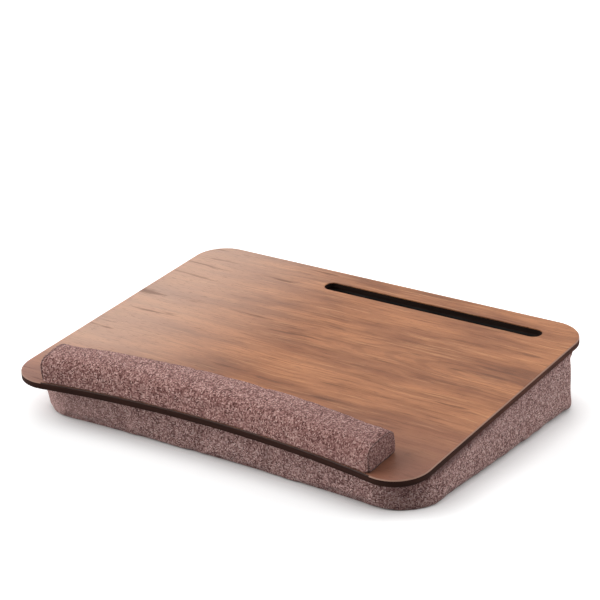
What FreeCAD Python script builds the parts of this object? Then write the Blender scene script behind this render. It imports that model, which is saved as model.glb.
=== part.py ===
"""A cushioned lap desk with a drawer, in millimetres.

A wood-grain board with a bowed front edge lies on a firm fabric wedge.
A fabric palm rest follows the front edge, and a slot at the rear right
holds a tablet. A padded drawer slides out of the left side of the wedge.

X runs to the right, Y to the rear and Z up. The origin is on the table,
under the middle of the board.
"""
import FreeCAD, Part
import math
import os

Vector = FreeCAD.Vector
UP = Vector(0, 0, 1)
ALONG = Vector(1, 0, 0)

# Lap board: sizes along and square to its slope
board_width = 434.0
board_depth = 339.0
board_corner_radius = 33.0
board_front_bow = 22.7
slope_degrees = 5.2
front_height = 42.6
core_thickness = 5.0
laminate_thickness = 1.0
laminate_bevel = 0.8
edge_band_thickness = 1.0

# Tablet slot in the board and the trough under it
slot_length = 240.0
slot_width = 17.0
slot_right_margin = 36.0
slot_rear_margin = 23.5
trough_wall = 1.2
trough_depth = 15.0
trough_flange = 3.5

# Palm rest along the bowed front edge
palm_length = 354.0
palm_depth = 43.5
palm_height = 22.0
palm_crown = 2.0
palm_front_setback = 1.0
palm_top_radius = 7.0
palm_end_radius = 2.0
palm_backing_thickness = 1.5
palm_backing_setback = 3.0
palm_tape_thickness = 0.8
palm_tape_width = 18.0
palm_tape_length = 90.0
palm_tape_count = 3

# Wedge cushion under the board
side_overhang = 5.0
rear_overhang = 5.5
cushion_front = 28.0
cushion_front_bow = 7.5
cushion_front_radius = 43.0
cushion_rear_radius = 30.0
cushion_bottom_round = 6.0
cover_thickness = 1.0
hem_thickness = 0.7
hem_width = 11.5
carrier_thickness = 3.0
tape_thickness = 1.2
tape_width = 22.0
tape_length = 300.0
tape_count = 3
staple_crown = 10.0
staple_wire = 0.5
staple_leg = 2.2
staple_setback = 6.0
staples_per_side = 5
staples_per_front = 7

# Drawer sleeve in the left side of the cushion
mouth_front = 152.0
mouth_rear_margin = 44.1
mouth_bottom = 12.2
mouth_roof_gap = 0.6
sleeve_wall = 2.0
sleeve_depth = 182.0
sleeve_flange = 4.0
sleeve_flange_thickness = 1.5
bezel_thickness = 1.5
bezel_bevel = 0.6
runner_thickness = 1.0
runner_width = 10.0
runner_inset = 14.0
stop_length = 4.0
stop_width = 16.0
stop_drop = 2.6
stop_spacing_share = 0.3
magnet_length = 12.0
magnet_height = 6.0
magnet_thickness = 1.5
magnet_spacing_share = 0.44

# Drawer
drawer_travel = 135.0
drawer_side_gap = 0.8
running_gap = 0.3
tray_wall = 2.0
tray_headroom = 4.2
tray_corner_radius = 6.0
tray_bottom_round = 2.0
tray_tab_width_share = 0.52
tray_tab_gap = 0.6
liner_thickness = 1.0
catch_plate_margin = 1.0
catch_plate_thickness = 1.0
front_proud = 0.5
front_board_thickness = 4.0
front_pad_thickness = 3.0
front_cover_thickness = 0.8
front_round = 2.4
front_screw_radius = 1.25
front_screw_head_radius = 2.5
front_screw_head_height = 1.6
front_screw_length = 5.2
front_screw_margin = 23.0
front_screw_rise_share = 0.56
pull_width = 22.0
pull_strap = 1.0
pull_drop = 17.0
pull_slit_height_share = 0.76
pull_tail = 9.0
pull_stand_off = 0.3

# Clearances shared by pieces that fit together
fabric_ease = 0.2
screw_ease = 0.05

# Sizes that follow from those above
slope = math.radians(slope_degrees)
board_thickness = core_thickness + 2 * laminate_thickness
carrier_top = -(board_thickness + tape_thickness)
carrier_bottom = carrier_top - carrier_thickness
slot_centre_x = board_width / 2 - slot_right_margin - slot_length / 2
slot_centre_s = board_depth - slot_rear_margin - slot_width / 2
board_bow_radius = ((board_width / 2) ** 2 + board_front_bow ** 2) / (2 * board_front_bow)
board_bow_centre = board_front_bow - board_bow_radius
cushion_half_width = board_width / 2 - side_overhang
cushion_rear = board_depth * math.cos(slope) - rear_overhang
mouth_x = -cushion_half_width
mouth_width = cushion_rear - mouth_rear_margin - mouth_front
mouth_middle_y = mouth_front + mouth_width / 2
carrier_over_mouth = (mouth_front - sleeve_flange) * math.tan(slope) + carrier_bottom / math.cos(slope)
mouth_top = front_height + carrier_over_mouth - mouth_roof_gap - sleeve_flange
sleeve_end = mouth_x + sleeve_depth
front_face_x = mouth_x - front_proud
front_back_x = front_face_x + front_cover_thickness + front_pad_thickness + front_board_thickness
tray_end = sleeve_end - magnet_thickness - running_gap - catch_plate_thickness
tray_bottom = mouth_bottom + runner_thickness + running_gap
tray_top = mouth_top - tray_headroom
tray_tab_width = tray_tab_width_share * mouth_width
front_bottom = mouth_bottom + drawer_side_gap
front_top = mouth_top - drawer_side_gap
pull_height = front_bottom + pull_slit_height_share * (front_top - front_bottom)
stop_x = tray_end - tray_wall - drawer_travel - running_gap
reach = board_width + board_depth


def box(low, high):
    """A block between two opposite corners."""
    size = high.sub(low)
    return Part.makeBox(size.x, size.y, size.z, low)


def on_board(shape):
    """Move a shape from the board's own plane, where Z is 0 at its top face, to the desk."""
    moved = shape.copy()
    moved.rotate(Vector(), ALONG, slope_degrees)
    moved.translate(Vector(0, 0, front_height))
    return moved


def layer(top, bottom):
    """The sloping slab of space between two heights measured from the board's top face."""
    return on_board(box(Vector(-reach, -reach, bottom), Vector(reach, reach, top)))


def upright_edges(solid, in_front):
    """The straight standing edges of a prism, either its front pair or its rear pair."""
    middle = solid.BoundBox.Center.y
    edges = []
    for edge in solid.Edges:
        first = edge.Vertexes[0].Point
        last = edge.Vertexes[-1].Point
        stands = math.hypot(last.x - first.x, last.y - first.y) < edge.Length / board_width
        if stands and (first.y < middle) == in_front:
            edges.append(edge)
    return edges


def level_edges(solid, height):
    """The edges of a solid that lie at one height."""
    tolerance = laminate_thickness / board_width
    return [edge for edge in solid.Edges
            if abs(edge.BoundBox.ZMin - height) < tolerance and abs(edge.BoundBox.ZMax - height) < tolerance]


def face_edges(solid, x):
    """The edges of a solid that lie in one upright plane across X."""
    tolerance = laminate_thickness / board_width
    return [edge for edge in solid.Edges
            if abs(edge.BoundBox.XMin - x) < tolerance and abs(edge.BoundBox.XMax - x) < tolerance]


def edges_along(solid, extent):
    """The edges of a block whose box is as long as the block itself in one direction."""
    whole = getattr(solid.BoundBox, extent)
    return [edge for edge in solid.Edges if getattr(edge.BoundBox, extent) > whole / 2]


def bowed_prism(half_width, front, rear, bow, radii, inset, bottom, top):
    """A prism with straight sides and rear, a front face that curves in, and rounded corners.

    inset draws every face in by the same distance, and the corners stay concentric.
    """
    bow_radius = (half_width ** 2 + bow ** 2) / (2 * bow)
    bow_centre = front + bow - bow_radius
    half = half_width - inset
    corner = bow_centre + math.sqrt((bow_radius + inset) ** 2 - half ** 2)
    front_left = Vector(-half, corner, bottom)
    front_middle = Vector(0, front + bow + inset, bottom)
    front_right = Vector(half, corner, bottom)
    rear_right = Vector(half, rear - inset, bottom)
    rear_left = Vector(-half, rear - inset, bottom)
    outline = Part.Wire([
        Part.Arc(front_left, front_middle, front_right).toShape(),
        Part.makeLine(front_right, rear_right),
        Part.makeLine(rear_right, rear_left),
        Part.makeLine(rear_left, front_left)])
    prism = Part.Face(outline).extrude(Vector(0, 0, top - bottom))
    prism = prism.makeFillet(radii[0] - inset, upright_edges(prism, True))
    return prism.makeFillet(radii[1] - inset, upright_edges(prism, False))


def board_prism(inset, bottom, top):
    """A slice of the lap board's outline, in the board's own plane."""
    radii = (board_corner_radius, board_corner_radius)
    return bowed_prism(board_width / 2, 0, board_depth, board_front_bow, radii, inset, bottom, top)


def cushion_prism(inset, bottom):
    """The wedge cushion's outline as an upright block."""
    radii = (cushion_front_radius, cushion_rear_radius)
    top = front_height + board_depth * math.sin(slope)
    return bowed_prism(cushion_half_width, cushion_front, cushion_rear, cushion_front_bow,
                       radii, inset, bottom, top)


def cushion_form(inset):
    """The upright block of the cushion with its bottom edge rounded, drawn in all round."""
    block = cushion_prism(inset, inset)
    return block.makeFillet(cushion_bottom_round - inset, level_edges(block, inset))


def stadium(length, width, middle, bottom, top):
    """A slot-shaped prism along X with round ends."""
    radius = width / 2
    run = length / 2 - radius
    left = middle.x - run
    right = middle.x + run
    low = middle.y - radius
    high = middle.y + radius
    outline = Part.Wire([
        Part.makeLine(Vector(left, low, bottom), Vector(right, low, bottom)),
        Part.Arc(Vector(right, low, bottom), Vector(right + radius, middle.y, bottom),
                 Vector(right, high, bottom)).toShape(),
        Part.makeLine(Vector(right, high, bottom), Vector(left, high, bottom)),
        Part.Arc(Vector(left, high, bottom), Vector(left - radius, middle.y, bottom),
                 Vector(left, low, bottom)).toShape()])
    return Part.Face(outline).extrude(Vector(0, 0, top - bottom))


def slot_prism(grow, bottom, top):
    """The tablet slot's outline, grown all round, in the board's own plane."""
    middle = Vector(slot_centre_x, slot_centre_s, 0)
    return stadium(slot_length + 2 * grow, slot_width + 2 * grow, middle, bottom, top)


def spread(count, length):
    """Places spaced evenly over a length about zero, half a step in from its ends."""
    step = length / count
    return [(index + 0.5) * step - length / 2 for index in range(count)]


def top_laminate():
    """Printed wood-grain sheet over the core and the edge band, bevelled round its rim."""
    sheet = board_prism(0, -laminate_thickness, 0)
    sheet = sheet.makeChamfer(laminate_bevel, level_edges(sheet, 0))
    return on_board(sheet.cut(slot_prism(0, -laminate_thickness, 0)))


def top_board():
    """Fibreboard core with the tablet slot cut through it."""
    bottom = -laminate_thickness - core_thickness
    core = board_prism(edge_band_thickness, bottom, -laminate_thickness)
    return on_board(core.cut(slot_prism(0, bottom, -laminate_thickness)))


def under_laminate():
    """Plain sheet under the core that keeps the board from warping."""
    top = -laminate_thickness - core_thickness
    sheet = board_prism(edge_band_thickness, -board_thickness, top)
    return on_board(sheet.cut(slot_prism(0, -board_thickness, top)))


def edge_band():
    """Dark strip round the board's edge, under the rim of the top laminate."""
    outer = board_prism(0, -board_thickness, -laminate_thickness)
    outer = outer.makeChamfer(laminate_bevel, level_edges(outer, -board_thickness))
    inner = board_prism(edge_band_thickness, -board_thickness, -laminate_thickness)
    return on_board(outer.cut(inner))


def slot_trough():
    """Plastic trough under the slot, held by its flange between the board and the carrier plate."""
    floor = -board_thickness - trough_depth
    body = slot_prism(trough_wall, floor - trough_wall, -board_thickness)
    flange = slot_prism(trough_wall + trough_flange, -board_thickness - trough_wall, -board_thickness)
    hollow = slot_prism(0, floor, -board_thickness)
    return on_board(body.fuse(flange).cut(hollow).removeSplitter())


def palm_section(inset, bottom):
    """The palm rest's cross-section: upright walls and a crowned top with round shoulders."""
    near = board_bow_centre + board_bow_radius + palm_front_setback + inset
    far = near + palm_depth - 2 * inset
    shoulder = palm_height - inset
    near_shoulder = Vector(0, near, shoulder)
    far_shoulder = Vector(0, far, shoulder)
    middle = Vector(0, (near + far) / 2, shoulder + palm_crown)
    outline = Part.Wire([
        Part.makeLine(Vector(0, near, bottom), Vector(0, far, bottom)),
        Part.makeLine(Vector(0, far, bottom), far_shoulder),
        Part.Arc(far_shoulder, middle, near_shoulder).toShape(),
        Part.makeLine(near_shoulder, Vector(0, near, bottom))])
    length = Part.Face(outline).extrude(Vector(palm_depth, 0, 0))
    shoulders = [edge for edge in edges_along(length, "XLength") if edge.BoundBox.ZMin > (bottom + shoulder) / 2]
    length = length.makeFillet(palm_top_radius - inset, shoulders)
    return min(length.Faces, key=lambda face: face.BoundBox.XMax)


def palm_bar(inset, bottom):
    """The palm rest's section turned about the bow's centre and cut square at both ends."""
    pivot = Vector(0, board_bow_centre, 0)
    half_turn = math.degrees(math.asin(palm_length / board_bow_radius))
    section = palm_section(inset, bottom)
    section.rotate(pivot, UP, -half_turn)
    ring = section.revolve(pivot, UP, 2 * half_turn)
    half = palm_length / 2 - inset
    return ring.common(box(Vector(-half, -reach, bottom), Vector(half, reach, reach)))


def palm_tape():
    """Strips of adhesive tape that hold the palm rest's backing on the board."""
    strips = []
    for place in spread(palm_tape_count, palm_length - 2 * palm_backing_setback):
        middle = board_bow_centre + math.sqrt(
            (board_bow_radius + palm_front_setback + palm_depth / 2) ** 2 - place ** 2)
        corner = Vector(place - palm_tape_length / 2, middle - palm_tape_width / 2, 0)
        strips.append(Part.makeBox(palm_tape_length, palm_tape_width, palm_tape_thickness, corner))
    return on_board(Part.makeCompound(strips))


def palm_backing():
    """Thin stiff strip under the palm rest's foam."""
    top = palm_tape_thickness + palm_backing_thickness
    slice_of_bar = box(Vector(-reach, -reach, palm_tape_thickness), Vector(reach, reach, top))
    return on_board(palm_bar(palm_backing_setback, palm_tape_thickness).common(slice_of_bar))


def palm_foam():
    """Foam bar inside the palm rest's cover."""
    bottom = palm_tape_thickness + palm_backing_thickness
    return on_board(palm_bar(cover_thickness + fabric_ease, bottom))


def palm_cover():
    """Fabric drawn over the palm rest's foam and down to the board, with a seam round each end panel."""
    bar = palm_bar(0, 0)
    rims = face_edges(bar, -palm_length / 2) + face_edges(bar, palm_length / 2)
    seams = [edge for edge in rims if edge.BoundBox.ZMax > palm_end_radius]
    return on_board(bar.makeFillet(palm_end_radius, seams).cut(palm_bar(cover_thickness, 0)))


def mounting_tapes():
    """Broad adhesive strips between the board and the carrier plate."""
    strips = []
    first = hem_width + cushion_front + cushion_front_bow
    room = slot_centre_s - slot_width / 2 - trough_wall - trough_flange - first
    for place in spread(tape_count, room):
        corner = Vector(-tape_length / 2, first + room / 2 + place - tape_width / 2, carrier_top)
        strips.append(Part.makeBox(tape_length, tape_width, tape_thickness, corner))
    return on_board(Part.makeCompound(strips))


def carrier_plate():
    """Hardboard on top of the foam that the cover is stapled to, with a way through for the trough."""
    plate = cushion_prism(cover_thickness + fabric_ease, 0).common(layer(carrier_top, carrier_bottom))
    return plate.cut(on_board(slot_prism(trough_wall + running_gap, carrier_bottom, carrier_top)))


def staple(middle, across):
    """One wire staple that lies on the hem, its crown along X, or along Y if across."""
    low = carrier_top + hem_thickness
    half = staple_crown / 2
    wire = staple_wire
    crown = box(Vector(-half, -wire / 2, low), Vector(half, wire / 2, low + wire))
    left = box(Vector(-half, -wire / 2, low - staple_leg), Vector(wire - half, wire / 2, low))
    right = box(Vector(half - wire, -wire / 2, low - staple_leg), Vector(half, wire / 2, low))
    wires = crown.fuse([left, right]).removeSplitter()
    if across:
        wires.rotate(Vector(), UP, 90)
    wires.translate(middle)
    return wires


def cover_staples():
    """Staples round the turned-in hem of the cover."""
    staples = []
    side = cushion_half_width - staple_setback
    front = (cushion_front + cushion_front_bow + staple_setback) / math.cos(slope)
    rear = (cushion_rear - staple_setback) / math.cos(slope)
    straight = 2 * (cushion_half_width - cushion_front_radius)
    for place in spread(staples_per_front, straight):
        bow = cushion_front_bow * (place / cushion_half_width) ** 2
        staples.append(staple(Vector(place, front - bow, 0), False))
        staples.append(staple(Vector(place, rear, 0), False))
    depth = cushion_rear - cushion_rear_radius - cushion_front - cushion_front_radius
    middle = (cushion_rear - cushion_rear_radius + cushion_front + cushion_front_radius) / 2
    for place in spread(staples_per_side, depth):
        staples.append(staple(Vector(-side, middle + place, 0), True))
        staples.append(staple(Vector(side, middle + place, 0), True))
    return on_board(Part.makeCompound(staples))


def sleeve_envelope(grow):
    """The space that the drawer sleeve and its flange take up, grown all round."""
    wall = sleeve_wall + grow
    flange = sleeve_flange + grow
    start = mouth_x + cover_thickness + fabric_ease
    body = box(Vector(start, mouth_front - wall, mouth_bottom - wall),
               Vector(sleeve_end + wall, mouth_front + mouth_width + wall, mouth_top + wall))
    rim = box(Vector(start, mouth_front - flange, mouth_bottom - flange),
              Vector(start + sleeve_flange_thickness + grow, mouth_front + mouth_width + flange,
                     mouth_top + flange))
    return body.fuse(rim).removeSplitter()


def screw_holes(places, radius, length):
    """Round holes along X that start at each place."""
    return Part.makeCompound([Part.makeCylinder(radius, length, place, ALONG) for place in places])


def drawer_sleeve():
    """Moulded box, open at the left, that the drawer slides in, with a flange behind the cover."""
    hollow = box(Vector(mouth_x - reach, mouth_front, mouth_bottom),
                 Vector(sleeve_end, mouth_front + mouth_width, mouth_top))
    return sleeve_envelope(0).cut(hollow)


def drawer_bezel():
    """Moulded frame bonded over the fabric's cut edge round the drawer's mouth."""
    face_x = mouth_x - bezel_thickness
    frame = box(Vector(face_x, mouth_front - sleeve_flange, mouth_bottom - sleeve_flange),
                Vector(mouth_x, mouth_front + mouth_width + sleeve_flange, mouth_top + sleeve_flange))
    frame = frame.makeFillet(sleeve_flange / 2, edges_along(frame, "XLength"))
    frame = frame.makeChamfer(bezel_bevel, face_edges(frame, face_x))
    opening = box(Vector(face_x, mouth_front, mouth_bottom),
                  Vector(mouth_x, mouth_front + mouth_width, mouth_top))
    return frame.cut(opening)


def runner_strips():
    """Two slippery strips on the sleeve's floor that carry the tray."""
    start = front_back_x + running_gap
    strips = []
    for middle in (mouth_front + runner_inset, mouth_front + mouth_width - runner_inset):
        strips.append(box(Vector(start, middle - runner_width / 2, mouth_bottom),
                          Vector(sleeve_end, middle + runner_width / 2, mouth_bottom + runner_thickness)))
    return Part.makeCompound(strips)


def drawer_stops():
    """Blocks under the sleeve's roof that catch the tray's raised rear tab."""
    blocks = []
    for side in (-1, 1):
        middle = mouth_middle_y + side * stop_spacing_share * mouth_width / 2
        blocks.append(box(Vector(stop_x - stop_length, middle - stop_width / 2, mouth_top - stop_drop),
                          Vector(stop_x, middle + stop_width / 2, mouth_top)))
    return Part.makeCompound(blocks)


def catch_bars(length, height, x, thickness):
    """A pair of flat bars across the drawer's rear end."""
    middle_z = (tray_bottom + tray_top) / 2
    spacing = magnet_spacing_share * mouth_width
    bars = []
    for middle_y in (mouth_middle_y - spacing / 2, mouth_middle_y + spacing / 2):
        bars.append(box(Vector(x, middle_y - length / 2, middle_z - height / 2),
                        Vector(x + thickness, middle_y + length / 2, middle_z + height / 2)))
    return Part.makeCompound(bars)


def catch_magnets():
    """Bar magnets on the sleeve's end wall that hold the drawer shut."""
    return catch_bars(magnet_length, magnet_height, sleeve_end - magnet_thickness, magnet_thickness)


def catch_plates():
    """Steel plates on the tray's rear wall that meet the magnets."""
    length = magnet_length + 2 * catch_plate_margin
    height = magnet_height + 2 * catch_plate_margin
    return catch_bars(length, height, tray_end, catch_plate_thickness)


def cushion_core():
    """All the foam inside the cover, as one block, with room for the sleeve and the trough."""
    block = cushion_form(cover_thickness + fabric_ease)
    above = layer(reach, carrier_bottom)
    trough_floor = -board_thickness - trough_depth - trough_wall
    groove = on_board(slot_prism(trough_wall + running_gap, trough_floor - running_gap, carrier_top))
    return block.cut([above, groove, sleeve_envelope(0)])


def foam_block(low, high):
    """One glued block of the cushion's foam, between two opposite corners."""
    return cushion_core().common(box(low, high))


def foam_blocks():
    """The foam is cut from slabs and glued up round the drawer sleeve."""
    bay_front = mouth_front - sleeve_wall
    bay_rear = mouth_front + mouth_width + sleeve_wall
    bay_end = sleeve_end + sleeve_wall
    bay_middle = (mouth_bottom + mouth_top) / 2
    return {
        "foam_front": foam_block(Vector(-reach, -reach, -reach), Vector(reach, bay_front, reach)),
        "foam_rear": foam_block(Vector(-reach, bay_rear, -reach), Vector(reach, reach, reach)),
        "foam_right": foam_block(Vector(bay_end, bay_front, -reach), Vector(reach, bay_rear, reach)),
        "foam_under": foam_block(Vector(-reach, bay_front, -reach), Vector(bay_end, bay_rear, bay_middle)),
        "foam_over": foam_block(Vector(-reach, bay_front, bay_middle), Vector(bay_end, bay_rear, reach))}


def cover_bottom():
    """Flat fabric panel under the cushion, sewn to the side cover where its edge turns up."""
    panel = cushion_prism(cushion_bottom_round, 0)
    return panel.common(box(Vector(-reach, -reach, 0), Vector(reach, reach, cover_thickness)))


def cover_wall():
    """Fabric round the sides of the cushion, with a hem turned in over the carrier plate."""
    skin = cushion_form(0).cut(cushion_form(cover_thickness))
    skin = skin.cut([layer(reach, -board_thickness), cover_bottom()])
    hem = cushion_prism(0, 0).cut(cushion_prism(hem_width, 0))
    hem = hem.common(layer(carrier_top + hem_thickness, carrier_top))
    mouth = box(Vector(mouth_x - reach, mouth_front, mouth_bottom),
                Vector(sleeve_end, mouth_front + mouth_width, mouth_top))
    return skin.fuse(hem).removeSplitter().cut(mouth)


def drawer_tray():
    """Moulded tray with rounded corners and a raised tab on its rear wall that meets the stops."""
    low_y = mouth_front + drawer_side_gap
    high_y = mouth_front + mouth_width - drawer_side_gap
    outer = box(Vector(front_back_x, low_y, tray_bottom), Vector(tray_end, high_y, tray_top))
    outer = outer.makeFillet(tray_corner_radius, edges_along(outer, "ZLength"))
    inner = box(Vector(front_back_x + tray_wall, low_y + tray_wall, tray_bottom + tray_wall),
                Vector(tray_end - tray_wall, high_y - tray_wall, tray_top + reach))
    inner = inner.makeFillet(tray_corner_radius - tray_wall, edges_along(inner, "ZLength"))
    inner = inner.makeFillet(tray_bottom_round, level_edges(inner, tray_bottom + tray_wall))
    tab = box(Vector(tray_end - tray_wall, mouth_middle_y - tray_tab_width / 2, tray_top - tray_wall),
              Vector(tray_end, mouth_middle_y + tray_tab_width / 2, mouth_top - tray_tab_gap))
    upper = [edge for edge in edges_along(tab, "XLength") if edge.BoundBox.ZMin > tray_top]
    tab = tab.makeFillet(tray_wall, upper)
    holes = screw_holes(front_screw_places(front_back_x), front_screw_radius + screw_ease, tray_wall)
    return outer.cut(inner).fuse(tab).removeSplitter().cut(holes)


def drawer_liner():
    """Felt mat on the flat of the tray's floor."""
    gap = tray_wall + tray_bottom_round
    floor = tray_bottom + tray_wall
    half = mouth_width / 2 - drawer_side_gap - gap
    mat = box(Vector(front_back_x + gap, mouth_middle_y - half, floor),
              Vector(tray_end - gap, mouth_middle_y + half, floor + liner_thickness))
    return mat.makeFillet(tray_corner_radius - tray_wall, edges_along(mat, "ZLength"))


def front_screw_places(x):
    """The four screws that hold the drawer's front on the tray."""
    low = tray_bottom + tray_wall + liner_thickness
    rise = front_screw_rise_share * (tray_top - low)
    out = mouth_width / 2 - front_screw_margin
    return [Vector(x, mouth_middle_y + side * out, (low + tray_top + level * rise) / 2)
            for side in (-1, 1) for level in (-1, 1)]


def front_screws():
    """Pan-head screws driven from inside the tray into the front board."""
    screws = []
    for place in front_screw_places(front_back_x + tray_wall):
        head = Part.makeCylinder(front_screw_head_radius, front_screw_head_height, place, ALONG)
        start = place.sub(Vector(front_screw_length, 0, 0))
        shank = Part.makeCylinder(front_screw_radius, front_screw_length, start, ALONG)
        screws.append(head.fuse(shank).removeSplitter())
    return Part.makeCompound(screws)


def front_block(inset, start, end):
    """A block with the drawer front's outline, drawn in all round, between two places along X."""
    return box(Vector(start, mouth_front + drawer_side_gap + inset, front_bottom + inset),
               Vector(end, mouth_front + mouth_width - drawer_side_gap - inset, front_top - inset))


def pull_slit(start, end):
    """The slit that the pull's strap passes through."""
    return box(Vector(start, mouth_middle_y - pull_width / 2, pull_height - pull_strap),
               Vector(end, mouth_middle_y + pull_width / 2, pull_height + pull_strap))


def pull_recess():
    """Shallow recess behind the front board, where the strap's tail turns down and is clamped."""
    top = pull_height + pull_strap
    return box(Vector(front_back_x - 2 * pull_strap, mouth_middle_y - pull_width / 2, top - pull_tail),
               Vector(front_back_x, mouth_middle_y + pull_width / 2, top))


def drawer_front_board():
    """Stiff board behind the drawer front's padding."""
    inset = front_cover_thickness + fabric_ease
    board = front_block(inset, front_back_x - front_board_thickness, front_back_x)
    start = front_back_x + tray_wall - front_screw_length
    holes = screw_holes(front_screw_places(start), front_screw_radius + screw_ease, front_screw_length)
    return board.cut([pull_slit(front_face_x, front_back_x), pull_recess(), holes])


def drawer_front_pad():
    """Thin foam on the front board."""
    inset = front_cover_thickness + fabric_ease
    start = front_face_x + front_cover_thickness
    pad = front_block(inset, start, start + front_pad_thickness)
    pad = pad.makeFillet(front_round - front_cover_thickness, face_edges(pad, start))
    return pad.cut(pull_slit(front_face_x, front_back_x))


def drawer_front_cover():
    """Fabric over the drawer's front and round its edges."""
    outer = front_block(0, front_face_x, front_back_x)
    outer = outer.makeFillet(front_round, face_edges(outer, front_face_x))
    start = front_face_x + front_cover_thickness
    inner = front_block(front_cover_thickness, start, front_back_x)
    inner = inner.makeFillet(front_round - front_cover_thickness, face_edges(inner, start))
    return outer.cut([inner, pull_slit(front_face_x - reach, front_back_x)])


def pull_tab():
    """Folded strap: it hangs in front of the drawer, passes the slit and turns down behind."""
    top = pull_height + pull_strap
    outside = front_face_x - pull_stand_off
    tip = top - pull_drop
    hanging = box(Vector(outside - 2 * pull_strap, mouth_middle_y - pull_width / 2, tip),
                  Vector(outside, mouth_middle_y + pull_width / 2, top))
    fold = [edge for edge in face_edges(hanging, outside - 2 * pull_strap)
            if edge.BoundBox.ZMin > pull_height]
    hanging = hanging.makeFillet(pull_strap, fold)
    corners = [edge for edge in edges_along(hanging, "XLength") if edge.BoundBox.ZMax < pull_height]
    hanging = hanging.makeFillet(pull_width / 4, corners)
    return hanging.fuse([pull_slit(outside, front_back_x), pull_recess()]).removeSplitter()


def desk():
    """Every piece of the lap desk by name, still measured from the board's front line."""
    pieces = {
        "top_laminate": top_laminate(),
        "top_board": top_board(),
        "under_laminate": under_laminate(),
        "edge_band": edge_band(),
        "slot_trough": slot_trough(),
        "palm_tape": palm_tape(),
        "palm_backing": palm_backing(),
        "palm_foam": palm_foam(),
        "palm_cover": palm_cover(),
        "mounting_tapes": mounting_tapes(),
        "carrier_plate": carrier_plate(),
        "cover_staples": cover_staples(),
        "cover_wall": cover_wall(),
        "cover_bottom": cover_bottom(),
        "drawer_sleeve": drawer_sleeve(),
        "drawer_bezel": drawer_bezel(),
        "runner_strips": runner_strips(),
        "drawer_stops": drawer_stops(),
        "catch_magnets": catch_magnets(),
        "drawer_tray": drawer_tray(),
        "drawer_liner": drawer_liner(),
        "drawer_front_board": drawer_front_board(),
        "drawer_front_pad": drawer_front_pad(),
        "drawer_front_cover": drawer_front_cover(),
        "pull_tab": pull_tab(),
        "front_screws": front_screws(),
        "catch_plates": catch_plates()}
    pieces.update(foam_blocks())
    return pieces


def export(pieces):
    """Put the origin under the middle of the board and write each piece to its own file."""
    outline = pieces["top_laminate"].fuse(pieces["edge_band"]).BoundBox
    os.makedirs("parts", exist_ok=True)
    for name, shape in pieces.items():
        placed = shape.copy()
        placed.translate(Vector(0, -outline.Center.y, 0))
        placed.exportStep("parts/" + name + ".step")
        print(name, "solids", len(placed.Solids), "valid", placed.isValid())


export(desk())
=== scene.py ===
import math
import bmesh
import bpy
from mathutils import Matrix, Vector, noise


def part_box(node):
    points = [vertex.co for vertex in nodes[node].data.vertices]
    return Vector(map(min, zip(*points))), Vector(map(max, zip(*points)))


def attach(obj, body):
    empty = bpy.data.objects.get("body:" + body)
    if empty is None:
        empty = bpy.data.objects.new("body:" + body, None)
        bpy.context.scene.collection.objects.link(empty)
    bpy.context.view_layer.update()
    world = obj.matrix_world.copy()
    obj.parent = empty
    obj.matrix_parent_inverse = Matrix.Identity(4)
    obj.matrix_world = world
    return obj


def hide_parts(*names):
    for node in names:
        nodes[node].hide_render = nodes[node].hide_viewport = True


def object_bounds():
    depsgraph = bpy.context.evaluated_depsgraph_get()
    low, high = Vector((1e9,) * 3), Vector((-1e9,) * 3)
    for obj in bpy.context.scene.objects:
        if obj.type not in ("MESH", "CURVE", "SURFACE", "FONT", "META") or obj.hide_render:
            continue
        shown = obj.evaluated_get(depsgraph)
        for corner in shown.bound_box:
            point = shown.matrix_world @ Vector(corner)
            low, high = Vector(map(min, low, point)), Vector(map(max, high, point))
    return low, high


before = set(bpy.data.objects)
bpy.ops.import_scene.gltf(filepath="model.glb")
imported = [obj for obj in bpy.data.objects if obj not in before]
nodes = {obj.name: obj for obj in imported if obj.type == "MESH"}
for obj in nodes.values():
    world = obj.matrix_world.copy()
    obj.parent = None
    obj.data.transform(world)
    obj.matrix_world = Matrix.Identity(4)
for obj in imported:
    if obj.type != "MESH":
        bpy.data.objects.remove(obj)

cad_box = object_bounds()
scene = bpy.context.scene


# Studio: a white table in a bright room, with broad soft lights from the left
# rear, the right rear and the left front. Each has a strength, a spread in
# degrees and a side. The camera stands where the photograph was taken from.
camera_place = (1.019782, -1.535308, 0.817894)
camera_tilt = 90 - 21.032
camera_turn = 33.618
camera_lens = 128.54
camera_sensor = 36.0
table_size = 12.0
table_drop = 0.0002
table_lift = 0.42
# Painted light on the table beside the desk's right side, and the reach of the painted contact shade round
# the desk.
table_right_painted_light = 0.15
table_contact = 0.030
room_light = 0.42
room_dim = 0.10
dim_side = (0.55, -0.83, 0.0)
lights = {"rear_light": (0.45, 40, (-0.42, 0.60, 0.68)),
          "right_light": (1.30, 50, (0.70, 0.50, 0.50)),
          "front_light": (2.40, 60, (-0.78, -0.46, 0.42))}
started = []


def shade(red, green, blue):
    """A colour as it is seen on a screen, 0 to 255, in the form that the shaders take."""
    seen = [value / 255 for value in (red, green, blue)]
    return [v / 12.92 if v < 0.04045 else ((v + 0.055) / 1.055) ** 2.4 for v in seen] + [1.0]


class Field:
    """A value that varies over a surface, as the node socket that gives it, with ordinary sums."""

    def __init__(self, socket):
        self.socket = socket

    def __add__(self, other):
        return number("ADD", self, other)

    def __sub__(self, other):
        return number("SUBTRACT", self, other)

    def __rsub__(self, other):
        return number("SUBTRACT", other, self)

    def __mul__(self, other):
        return number("MULTIPLY", self, other)

    def __truediv__(self, other):
        return number("DIVIDE", self, other)

    def __abs__(self):
        return number("ABSOLUTE", self)


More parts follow.
